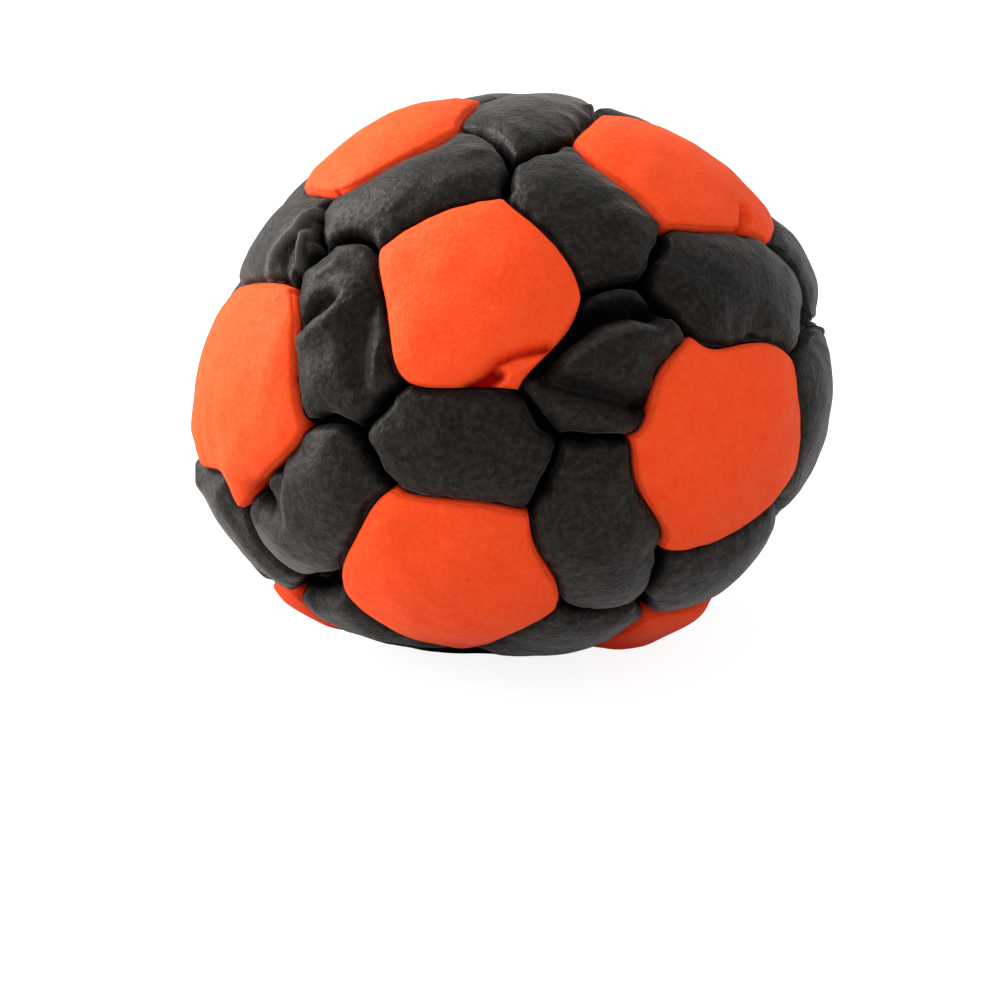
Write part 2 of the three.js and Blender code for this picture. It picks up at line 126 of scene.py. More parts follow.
# Pixels at even shares along the seams that bow, each from its first corner to its second
SEEN_SEAMS = {
    "A:AFB A:AEF": [(402, 231), (437, 213), (471, 202)],
    "A:AEF A:ADE": [(527, 217), (554, 242), (574, 270)],
    "A:ADE A:ACD": [(575, 321), (560, 343), (537, 366)],
    "A:ACD A:ABC": [(494, 389), (461, 389), (429, 389)],
    "A:ABC A:AFB": [(390, 350), (386, 316), (380, 283)],
    "B:FBL B:AFB": [(246, 284), (266, 281), (285, 283)],
    "B:AFB B:ABC": [(295, 320), (294, 352), (294, 385)],
    "B:ABC B:BCG": [(293, 447), (278, 463), (259, 483)],
    "B:BCG B:BLG": [(234, 497), (224, 475), (210, 470)],
    "C:ABC C:ACD": [(425, 500), (461, 503), (498, 508)],
    "C:ACD C:CDH": [(531, 530), (538, 554), (553, 578)],
    "C:CDH C:CGH": [(542, 619), (517, 631), (494, 641)],
    "C:CGH C:BCG": [(431, 640), (393, 627), (358, 606)],
    "C:BCG C:ABC": [(346, 553), (358, 530), (370, 508)],
    "D:ADE D:DEJ": [(716, 348), (742, 344), (770, 342)],
    "D:DEJ D:DHJ": [(798, 395), (800, 430), (795, 464)],
    "D:DHJ D:CDH": [(752, 521), (722, 539), (691, 550)],
    "D:CDH D:ACD": [(660, 523), (643, 496), (635, 467)],
    "D:ACD D:ADE": [(649, 418), (655, 391), (666, 365)],
    "E:AEF E:ADE": [(601, 168), (627, 188), (650, 208)],
    "E:ADE E:DEJ": [(690, 227), (716, 229), (743, 231)],
    "E:DEJ E:EJK": [(773, 224)],
    "E:AEF E:EFK": [(585, 128)],
    "F:AFB F:AEF": [(362, 181), (396, 162), (430, 145)],
    "F:AEF F:EFK": [(464, 115)],
    "F:AFB F:FBL": [(318, 192)],
    "G:BCG G:CGH": [(311, 611)],
    "AFB A:AFB": [(334, 242), (351, 236), (366, 241)],
    "AFB B:AFB": [(304, 268)], "AFB F:AFB": [(318, 222)],
    "ABC B:ABC": [(334, 422)], "ACD C:ACD": [(552, 468)], "ADE A:ADE": [(613, 285)],
    "ADE D:ADE": [(669, 311)], "AEF E:AEF": [(543, 149)], "AEF F:AEF": [(492, 139)],
    "BCG B:BCG": [(267, 549)], "CDH C:CDH": [(598, 612)], "CDH D:CDH": [(656, 578)],
    "DEJ E:DEJ": [(797, 278)],
}
# Corners just out of sight: azimuth from the front, and elevation
HIDDEN_CORNERS = {"J:DEJ": (105, 7), "EFK": (150, 58), "BLG": (-94, -16)}
# Middles of bowed seams that lie just out of sight: azimuth from the front, and elevation
HIDDEN_SEAMS = {
    "B:FBL B:BLG": (-90, -3), "E:EJK E:EFK": (114, 45), "F:EFK F:FBL": (-128, 51),
}
# Creases of the slack panels, in the pixels of the reference view: the line, how far it rises in
# millimetres, and how wide it falls away on its left and on its right, going along it
FOLDS = {
    "hexagon_front_left": (
        ([(308, 322), (318, 311), (332, 303)], -1.5, 1.0, 0.8),
        ([(304, 338), (318, 328), (330, 322), (342, 311)], 0.6, 0.8, 1.4),
        ([(303, 274), (322, 275), (340, 264)], 0.3, 0.7, 0.8),
        ([(374, 298), (366, 325), (363, 350), (364, 378)], -0.9, 1.2, 1.2),
        ([(388, 338), (380, 352), (374, 376)], 0.4, 0.8, 0.8),
    ),
    "hexagon_front_right": (
        ([(590, 297), (622, 291), (650, 303), (667, 320)], 0.4, 0.5, 0.6),
        ([(548, 360), (572, 337), (600, 320), (630, 313), (650, 317)], -2.2, 1.6, 1.0),
        ([(555, 368), (575, 356), (600, 345), (630, 335), (665, 325)], 0.7, 0.9, 2.0),
        ([(545, 383), (575, 391), (605, 398), (636, 408)], -1.6, 1.6, 0.8),
        ([(527, 388), (550, 402), (580, 412), (612, 424), (630, 432)], 0.5, 0.8, 1.0),
    ),
    "hexagon_left_high_left": (
        ([(332, 206), (322, 209), (311, 216), (300, 231), (288, 247), (265, 284)], 0.7, 0.8, 0.3),
        ([(299, 244), (289, 262), (281, 285)], -0.5, 0.5, 0.5),
        ([(314, 222), (307, 234), (303, 251), (297, 288)], 0.65, 0.35, 0.35),
        ([(310, 253), (319, 250), (327, 246)], 0.5, 0.5, 0.5),
    ),
    "hexagon_left_low_left": (([(186, 457), (198, 480)], 0.6, 1.2, 1.2),),
    "pentagon_front": (
        ([(480, 387), (498, 364), (518, 356), (547, 350)], -1.5, 0.5, 0.3),
        ([(505, 381), (521, 373), (538, 362)], 0.35, 0.5, 0.5),
        ([(470, 390), (486, 384), (499, 377)], -2.0, 0.55, 0.5),
    ),
    "pentagon_high_right": (([(738, 211), (742, 228), (744, 244)], -2.2, 0.45, 0.35),),
    "pentagon_high_left": (
        ([(414, 154), (436, 147)], -0.5, 0.4, 0.4),
        ([(452, 136), (464, 124)], -0.5, 0.4, 0.4),
    ),
    "hexagon_left_low_front": (([(278, 472), (278, 495), (283, 516)], -0.8, 0.8, 1.2),),
    "hexagon_low_front_low_left": (([(308, 592), (326, 593), (344, 584)], -2.2, 1.4, 1.4),),
    "hexagon_right_high_right": (([(735, 322), (755, 318)], -0.4, 1.4, 1.4),),
    "hexagon_right_low_right": (([(774, 542), (754, 566), (738, 584)], -1.3, 1.9, 1.9),),
    "hexagon_high_right_back_top": (([(596, 104), (622, 106), (650, 118)], -1.8, 3.0, 3.0),),
    "hexagon_high_right_high_left": (([(591, 111), (599, 117)], 0.6, 0.9, 0.9),),
    "hexagon_right_back_right": (([(798, 331), (816, 328)], 0.8, 0.7, 0.7),),
    "hexagon_high_right_back_right": (([(798, 327), (822, 322)], 1.0, 0.8, 0.8),),
    "pentagon_low_left": (([(272, 592), (300, 615), (330, 628)], -0.4, 2.0, 2.0),),
    "pentagon_low_right": (([(600, 652), (640, 645)], 0.5, 2.0, 2.0),),
}
# Ridges that fall away within this width get a painted highlight along their crests
HIGHLIGHT_WIDTH = 0.5
# Pits where slack panels meet: the pixel, depth and radius in millimetres
PITS = (
    ((314, 226), 2.0, 0.7), ((311, 257), 2.0, 0.8), ((262, 501), 2.2, 1.7), ((648, 283), 0.8, 1.1),
)

# Fineness of the panels: steps along a seam, rings from the seam to the middle, how much closer
# the rings stand at the seam, and every how many rings the inside of the fabric has one
SEAM_STEPS = 30
RINGS = 60
RING_POWER = 1.6
INSIDE_EVERY = 6
# How far from a seam the inside of the fabric begins
INSIDE_MARGIN = 1.2 * FABRIC_THICKNESS
# Fineness of the filling, how near its points are welded, and how far its domes keep from the seams
FILLING_STEPS = 10
FILLING_RINGS = 12
WELD = 0.001
FILLING_MARGIN = 1.5 * (FABRIC_THICKNESS + CLEARANCE)
# The seams closed by hand after filling, and their ladder stitches
CLOSING_SEAMS = ("AFB", "F:AFB", "F:FBL")
CLOSING_THREAD_DIAMETER = 0.3
CLOSING_DEPTH = 2.0
CLOSING_WIDTH = 0.3
STITCHES_PER_SEAM = 6
STEPS_PER_STITCH = 8
# Stitches of both threads, and how thin the thread gets where it dives into the fabric
STITCH_LENGTH = 1.6
THIN_SHARE = 0.75
THREAD_STEPS = 40
# Segments of a seam for measuring how far a point lies from it
MEASURE_STEPS = 14

# Uneven filling under the suede: height and wavelength, in millimetres
LUMPS = ((0.08, 10.0), (0.035, 4.0))
# Waver of the edges of a pentagon and of a hexagon beside their seams: reach and wavelength
PENTAGON_WAVER = ((0.06, 4.0),)
HEXAGON_WAVER = ((0.18, 5.0), (0.05, 2.0))
# Waves that add up to lumps, and the range of their fineness
WAVES = 14
WAVE_RANGE = (0.7, 1.4)
SEED = 42
WAVER_SEED = 100

# The underside gets painted shade below this height of its direction, over this much of it
UNDERSIDE_SHADE_BELOW = -0.88
UNDERSIDE_SHADE_FADE = 0.36
# Fineness of the suede's patches, mottle, fuzz and streaks, in waves to a metre
PATCH_FINENESS = 350
MOTTLE_FINENESS = 1700
FUZZ_FINENESS = 3600
STREAK_FINENESS = 900
# Where each of its patterns sets in and is full, and how much of a colour it then mixes in
PATCH_RANGE = (0.38, 0.62)
MOTTLE_RANGE = (0.45, 0.75)
MOTTLE_SHARE = 0.4
STREAK_RANGE = (0.62, 0.8)
STREAK_SHARE = 0.2
# The next two paint a highlight on ridge crests
HIGHLIGHT_RANGE = (0.15, 0.6)
HIGHLIGHT_SHARE = 0.7
# The next range paints shade where points lie closed to the light
OPEN_RANGE = (0, 0.7)
# The same for its glints, which fade where it is seen edge on, and for its sheen
GLINT_RANGE = (0.1, 0.7)
EDGE_ON_RANGE = (0.95, 0.4)
SHEEN_RANGE = (0.1, 1)
# Share of the fuzz and of the streaks in its relief
RELIEF_SHARE = 0.4

# Light and floor, in metres, watts and brightness. The lamps have an azimuth, elevation and power.
AMBIENT = 0.8
LAMPS = {"left": (-95, 10, 6.9), "back": (-120, 36, 9.0), "front": (10, 8, 0.8)}
LAMP_DISTANCE = 0.8
LAMP_SIZE = 0.5
FLOOR_SIZE = 8.0
FLOOR_COLOR = (0.3, 0.3, 0.3)
FLOOR_GLOW = 0.88
FLOOR_BOUNCE = 0.24


def unit(vectors):
    return vectors / np.linalg.norm(vectors, axis=-1, keepdims=True)


def direction_at(azimuth, elevation):
    azimuth, elevation = math.radians(azimuth), math.radians(elevation)
    flat = math.cos(elevation)
    return np.array((flat * math.sin(azimuth), -flat * math.cos(azimuth), math.sin(elevation)))


def angles(directions, other):
    return np.arccos(np.clip(directions @ other, -1, 1))


def rest_radius(directions):
    """Distance from the belly's middle to the resting form."""
    half_height = np.where(
        directions[:, 2] > 0, BAG_HEIGHT - BELLY_HEIGHT, BELLY_HEIGHT + PRESSED_DEPTH
    )
    across = np.hypot(directions[:, 0] / (BAG_WIDTH / 2), directions[:, 1] / (BAG_DEPTH / 2))
    radius = 1 / np.hypot(across, directions[:, 2] / half_height) - CROWN_HEIGHT
    for azimuth, elevation, reach, share in SWELLS:
        turn = angles(directions, direction_at(azimuth, elevation)) / math.radians(reach)
        radius += SWELL_HEIGHT * share * np.exp(-(turn**2))
    return radius


def trace(pixels):
    """Directions of the points of the resting form that pixels of the reference view show."""
    pixels = np.array(pixels, float).reshape(-1, 2)
    tilt = math.radians(VIEW_ELEVATION)
    forward = np.array((0, math.cos(tilt), -math.sin(tilt)))
    up = np.array((0, math.sin(tilt), math.cos(tilt)))
    right = np.array((1, 0, 0))
    pixel = BAG_WIDTH / PIXELS_ACROSS
    eye = -forward * VIEW_DISTANCE
    target = np.outer((pixels[:, 0] - PICTURE_MIDDLE[0]) * pixel, right)
    target += np.outer((PICTURE_MIDDLE[1] - pixels[:, 1]) * pixel, up)
    ray = unit(target - eye)
    inner = eye - ray * (ray @ eye)[:, None]

    def is_outside(points):
        return np.linalg.norm(points, axis=1) > rest_radius(unit(points)) - MEETING_DEPTH

    missed = is_outside(inner)
    nearest = inner.copy()
    outer = inner - ray * BAG_WIDTH
    for _ in range(TRACE_HALVINGS):
        middle = (inner + outer) / 2
        out = is_outside(middle)[:, None]
        outer = np.where(out, middle, outer)
        inner = np.where(out, inner, middle)
    return unit(np.where(missed[:, None], nearest, inner))


def pentagon_middles():
    """Middles of the pentagons of the regular pattern, turned so that A and B lie at their places."""
    pole = direction_at(*FRONT_PLACE)
    first = direction_at(*LEFT_PLACE)
    first = unit(first - pole * (first @ pole))
    second = np.cross(pole, first)
    tilt = math.atan(2)
    middles = {"A": pole, "M": -pole}
    for letters, from_pole, start in (("BCDEF", tilt, 0), ("GHJKL", math.pi - tilt, 0.5)):
        for i, letter in enumerate(letters):
            turn = (i + start) * 2 * math.pi / 5
            flat = first * math.cos(turn) + second * math.sin(turn)
            middles[letter] = pole * math.cos(from_pole) + flat * math.sin(from_pole)
    return middles


def seam_corners(middles):
    """All 80 seam corners: the seen ones as traced, the rest drifted as their neighbours are."""
    regular = {}
    for triple in TRIPLES:
        point = unit(sum(middles[letter] for letter in triple))
        regular[triple] = point
        for letter in triple:
            regular[f"{letter}:{triple}"] = unit(
                middles[letter] + (point - middles[letter]) * CORNER_SHARE
            )
    names = list(SEEN_CORNERS)
    seen = trace([SEEN_CORNERS[name] for name in names])
    patterned = np.array([regular[name] for name in names])
    corners = dict(zip(names, seen))
    for name, point in regular.items():
        if name in HIDDEN_CORNERS:
            corners[name] = direction_at(*HIDDEN_CORNERS[name])
        elif name not in corners:
            turn = angles(patterned, point) / math.radians(DRIFT_REACH)
            weights = np.exp(-(turn**2))
            shift = weights @ (seen - patterned) / (DRIFT_FADE + weights.sum())
            corners[name] = unit(point + shift)
    return corners


def panel_outlines():
    """Each panel's name, the names of its corners in order, and whether it is a pentagon."""
    for letter, side in PENTAGONS.items():
        around = [triple for triple in TRIPLES if letter in triple]
        ring = [around.pop(0)]
        while around:
            following = next(t for t in around if len(set(t) & set(ring[-1])) == 2)
            around.remove(following)
            ring.append(following)
        yield f"pentagon_{side}", [f"{letter}:{triple}" for triple in ring], True
    for a in PENTAGONS:
        for b in PENTAGONS:
            shared = [triple for triple in TRIPLES if a in triple and b in triple]
            if a < b and len(shared) == 2:
                one, two = shared
                names = [one, f"{a}:{one}", f"{a}:{two}", two, f"{b}:{two}", f"{b}:{one}"]
                yield f"hexagon_{PENTAGONS[a]}_{PENTAGONS[b]}", names, False


MIDDLES = pentagon_middles()
CORNERS = seam_corners(MIDDLES)


def through(nodes, shares):
    """Points at the given shares of the smooth curve through evenly spread nodes."""
    nodes = np.array(nodes)
    node_shares = np.linspace(0, 1, len(nodes))
    points = np.zeros((len(shares), 3))
    for i, node_share in enumerate(node_shares):
        others = np.delete(node_shares, i)
        weights = np.prod((shares[:, None] - others) / (node_share - others), axis=1)
        points += weights[:, None] * nodes[i]
    return points


def seam_nodes(start, end):
    """The directions that the seam between two corners goes through."""
    first, last = CORNERS[start], CORNERS[end]
    for seam, order in ((f"{start} {end}", 1), (f"{end} {start}", -1)):
        if seam in SEEN_SEAMS:
            return [first, *trace(SEEN_SEAMS[seam])[::order], last]
        if seam in HIDDEN_SEAMS:
            return [first, direction_at(*HIDDEN_SEAMS[seam]), last]
    if start[0] != end[0] or ":" not in start or ":" not in end:
        return [first, last]
    halfway = (first + last) / 2
    bow = unit(halfway - MIDDLES[start[0]]) * np.linalg.norm(first - last) * BOW_SHARE
    return [first, halfway + bow, last]


def seam_line(start, end, steps):
    """Directions along a seam from one corner up to, but without, the next."""
    return unit(through(seam_nodes(start, end), np.arange(steps) / steps))


def waves(rng, wavelength):
    """Random waves of about one length: how fast each turns along the axes, and where it starts."""
    turns = unit(rng.normal(size=(WAVES, 3))) * (2 * math.pi / wavelength)
    return turns * rng.uniform(*WAVE_RANGE, (WAVES, 1)), rng.uniform(0, 2 * math.pi, WAVES)


def lumps(seed, points, sizes):
    """Uneven heights of several wavelengths."""
    rng = np.random.default_rng(seed)
    rise = np.zeros(len(points))
    for height, wavelength in sizes:
        turns, starts = waves(rng, wavelength)
        rise += height * np.sin(points @ turns.T + starts).sum(axis=1) / math.sqrt(WAVES / 2)
    return rise


def line_distance(directions, line):
    """How far directions lie from a line of directions, in radians, and on which side of it."""
    starts, ends = line[:-1], line[1:]
    along = ends - starts
    share = (directions @ along.T - (starts * along).sum(axis=1)) / (along**2).sum(axis=1)
    share = np.clip(share, 0, 1)
    nearest = starts + share[:, :, None] * along
    away = directions[:, None, :] - nearest
    distance = np.linalg.norm(away, axis=2)
    best = distance.argmin(axis=1)
    rows = np.arange(len(directions))
    side = (np.cross(starts, along)[best] * away[rows, best]).sum(axis=1)
    return distance[rows, best], side


class Panel:
    """One panel of suede: its outline, and how deep its face lies below the resting form."""

    def __init__(self, name, names, is_pentagon, seed):
        self.name = name
        self.is_pentagon = is_pentagon
        self.turns = PENTAGON_TURNS if is_pentagon else HEXAGON_TURNS
        self.waver = PENTAGON_WAVER if is_pentagon else HEXAGON_WAVER
        self.seed = seed
        self.middle = unit(sum(CORNERS[corner] for corner in names))
        turn = np.cross(CORNERS[names[0]], CORNERS[names[1]]) @ self.middle
        corners = names[::-1] if turn < 0 else names
        self.seams = list(zip(corners, corners[1:] + corners[:1]))
        self.lines = []
        for start, end in self.seams:
            line = seam_line(start, end, MEASURE_STEPS)
            self.lines.append(np.vstack((line, CORNERS[end])))

    def outline(self, steps):
        return np.vstack([seam_line(start, end, steps) for start, end in self.seams])

    def inset(self, outline, distance):
        """Directions that lie a distance in from an outline, on the way to the middle."""
        reach = np.linalg.norm(outline - self.middle, axis=1).mean() * BAG_WIDTH / 2
        return unit(outline + (self.middle - outline) * distance / reach)

    def depth(self, directions):
        """How deep the face lies below the resting form, how near a seam, and how much painted
        highlight its ridges get.
        """
        radius = rest_radius(directions)
        points = directions * radius[:, None]
        waver = np.abs(lumps(self.seed + WAVER_SEED, points, self.waver))
        fullness = np.ones((len(self.turns), len(directions)))
        nearest = np.full(len(directions), math.inf)
        for (start, end), line in zip(self.seams, self.lines):
            away = line_distance(directions, line)[0] * radius - SEAM_GAP / 2
            nearest = np.minimum(nearest, away)
            turn_share = COLOR_SEAM_TURN if start[:2] == end[:2] and start[1] == ":" else 1
            for i, (_, width, power) in enumerate(self.turns):
                turned = (1 - (1 - np.clip((away - waver) / width, 0, 1)) ** 2) ** power
                is_edge = i == len(self.turns) - 1
                fullness[i] *= 1 - (turn_share if is_edge else 1) * (1 - turned)
        depth = -CROWN_HEIGHT - fullness[1] * lumps(self.seed, points, LUMPS)
        for (deep, _, _), full in zip(self.turns, fullness):
            depth += deep * (1 - full)
        ridge_highlight = np.zeros(len(directions))
        for pixels, height, left, right in FOLDS.get(self.name, ()):
            away, side = line_distance(directions, trace(pixels))
            fold = height * np.exp(-((away * radius / np.where(side > 0, left, right)) ** 2))
            depth -= fold
            # Narrow ridges are marked for a painted highlight along their crests
            if min(left, right) < HIGHLIGHT_WIDTH:
                ridge_highlight = np.maximum(ridge_highlight, fold)
        for pixel, deep, reach in PITS:
            depth += deep * np.exp(-((angles(directions, trace(pixel)[0]) * radius / reach) ** 2))
        return np.minimum(depth, DEEPEST), nearest, ridge_highlight


def place(directions, depth, floor=0.0):
    """Points of the bag that lie a depth below the resting form, never under the floor."""
    points = directions * (rest_radius(directions) - depth)[:, None]
    points[:, 2] = np.maximum(points[:, 2] + BELLY_HEIGHT, floor)
    return points


def ringed(rings, first_tip=None, last_tip=None):
    """Points and faces through rings of as many points each, closed at either end by a tip."""
    count = len(rings[0])
    points = np.vstack(rings)
    rows = np.arange(len(rings) - 1)[:, None] * count
    here = np.arange(count)
    after = (here + 1) % count
    quads = np.stack((rows + here, rows + here + count, rows + after + count, rows + after), axis=2)
    faces = quads.reshape(-1, 4).tolist()
    if first_tip is not None:
        faces += [(a, b, len(points)) for a, b in zip(here.tolist(), after.tolist())]
        points = np.vstack((points, first_tip))
    if last_tip is not None:
        last = (len(rings) - 1) * count
        faces += [(b + last, a + last, len(points)) for a, b in zip(here.tolist(), after.tolist())]
        points = np.vstack((points, last_tip))
    return points, faces


def new_mesh(name, points, faces):
    mesh = bpy.data.meshes.new(name)
    mesh.from_pydata((points * MM).tolist(), [], faces)
    mesh.shade_smooth()
    return mesh


def add_piece(name, data, node, slot, material):
    piece = bpy.data.objects.new(name, data)
    bpy.context.scene.collection.objects.link(piece)
    data.materials.append(material)
    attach(piece, "root")
    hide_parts(node)
    return piece


def face_rings(panel, edge, count):
    """Directions, depths, nearness to a seam and painted ridge highlight of rings from a panel's middle
    to its edge.
    """
    shares = 1 - (1 - np.arange(1, count + 1) / count) ** RING_POWER
    directions = unit(panel.middle + (edge - panel.middle) * shares[:, None, None])
    shape = (count, len(edge))
    values = panel.depth(directions.reshape(-1, 3))
    return directions, *(value.reshape(shape) for value in values)


def panel_mesh(panel):
    """A panel's closed shell, as rings from the middle of its face over the edge to the inside.

    Its points carry how open they lie to the light, which sets the painted shade, and how much painted
    highlight their ridges get.
    """
    outline = panel.outline(SEAM_STEPS)
    edge = panel.inset(outline, SEAM_GAP / 2)
    pinched = panel.inset(outline, PINCH)
    directions, depth, nearest, ridge_highlight = face_rings(panel, edge, RINGS)
    rings = [place(*ring) for ring in zip(directions, depth)]
    stitched = GROOVE_DEPTH + STITCH_DEPTH
    raw_edge = GROOVE_DEPTH + SEAM_ALLOWANCE
    notch = panel.inset(outline, (THREAD_DIAMETER + CLEARANCE) / 2)
    wall = panel.inset(edge, FABRIC_THICKNESS)
    rims = (
        (pinched, stitched - THREAD_DIAMETER - CLEARANCE), (notch, stitched),
        (pinched, stitched + THREAD_DIAMETER + CLEARANCE), (pinched, raw_edge), (wall, raw_edge),
    )
    rings += [place(line, np.full(len(line), deep)) for line, deep in rims]
    inner = [i for i in range(0, RINGS, INSIDE_EVERY) if nearest[i].min() > INSIDE_MARGIN]
    for i in reversed(inner):
        rings.append(place(directions[i], depth[i] + FABRIC_THICKNESS, FABRIC_THICKNESS))
    tip = panel.middle[None, :]
    top = panel.depth(tip)[0]
    under = place(tip, top + FABRIC_THICKNESS, FABRIC_THICKNESS)
    points, faces = ringed(rings, place(tip, top), under)
    mesh = new_mesh(panel.name, points, faces)
    # Painted shade: points deep in grooves, folds and pits, and on the underside near the floor, count
    # as closed to the light
    open_share = np.clip(1 - depth.ravel() / GROOVE_DEPTH, 0, 1)
    open_share *= np.clip((directions[..., 2].ravel() - UNDERSIDE_SHADE_BELOW) / UNDERSIDE_SHADE_FADE, 0, 1)
    for name, values in (("open_share", open_share), ("ridge_highlight", ridge_highlight.ravel())):
        shares = np.zeros(len(points), np.float32)
        shares[: depth.size] = values
        shares[-2] = values[0]
        mesh.attributes.new(name, "FLOAT", "POINT").data.foreach_set("value", shares)
    return mesh


def filling_mesh(panels):
    """The filling: a dome under every panel, and a valley round every pair of rims."""
    under = FABRIC_THICKNESS + CLEARANCE
    valley_depth = GROOVE_DEPTH + SEAM_ALLOWANCE + CLEARANCE
    all_points = []
    all_faces = []
    start = 0
    for panel in panels:
        seam = panel.outline(FILLING_STEPS)
        wall = panel.inset(seam, FILLING_MARGIN)
        directions, depth, *_ = face_rings(panel, wall, FILLING_RINGS)
        rings = [place(ring, deep + under, under) for ring, deep in zip(directions, depth)]
        rings.append(place(wall, np.full(len(wall), valley_depth)))
        rings.append(place(seam, np.full(len(seam), valley_depth)))
        tip = panel.middle[None, :]
        top = place(tip, panel.depth(tip)[0] + under, under)
        points, faces = ringed(rings, top)
        all_points.append(points)
        all_faces += [[corner + start for corner in face] for face in faces]
        start += len(points)
    mesh = new_mesh("filling", np.vstack(all_points), all_faces)
    form = bmesh.new()
    form.from_mesh(mesh)
    bmesh.ops.remove_doubles(form, verts=form.verts, dist=WELD * MM)
    form.to_mesh(mesh)
    form.free()
    return mesh


def thread_curve(name, routes, diameter):
    """Thread along each route, thinning where it dives into the fabric at every stitch."""
    curve = bpy.data.curves.new(name, "CURVE")
    curve.dimensions = "3D"
    curve.bevel_depth = diameter / 2 * MM
    curve.bevel_resolution = 2
    curve.use_fill_caps = True
    for route in routes:
        along = np.concatenate(([0], np.linalg.norm(np.diff(route, axis=0), axis=1).cumsum()))
        radii = THIN_SHARE + (1 - THIN_SHARE) * np.abs(np.sin(along * math.pi / STITCH_LENGTH))
        spline = curve.splines.new("POLY")
        spline.points.add(len(route) - 1)
        points = np.hstack((route * MM, np.ones((len(route), 1))))
        spline.points.foreach_set("co", points.ravel())
        spline.points.foreach_set("radius", radii)
    return curve


def seam_routes(panels):
    """The seam thread's route along each of the seams."""
    seams = {tuple(sorted(seam)) for panel in panels for seam in panel.seams}
    for start, end in sorted(seams):
        line = np.vstack((seam_line(start, end, THREAD_STEPS), CORNERS[end]))
        yield place(line, np.full(len(line), GROOVE_DEPTH + STITCH_DEPTH))


def closing_route():
    """The closing thread's way from lip to lip of the seams sewn last."""
    steps = STITCHES_PER_SEAM * STEPS_PER_STITCH
    route = []
    for start, end in zip(CLOSING_SEAMS, CLOSING_SEAMS[1:]):
        line = seam_line(start, end, steps)
        across = unit(np.cross(CORNERS[start], CORNERS[end]))
        swing = np.cos(np.arange(steps) / STEPS_PER_STITCH * math.pi)
        points = place(line, np.full(steps, CLOSING_DEPTH))
        route.append(points + across * swing[:, None] * CLOSING_WIDTH / 2)
    return np.vstack(route)


def new_material(name):
    """A material with its shader, and shorthands that add a node and join two sockets."""
    material = bpy.data.materials.new(name)
    material.use_nodes = True
    tree = material.node_tree

    def add(kind, **values):
        node = tree.nodes.new(kind)
        for key, value in values.items():
            if key in node.inputs:
                node.inputs[key].default_value = value
            else:
                setattr(node, key, value)
        return node

    return material, tree.nodes["Principled BSDF"], add, tree.links.new


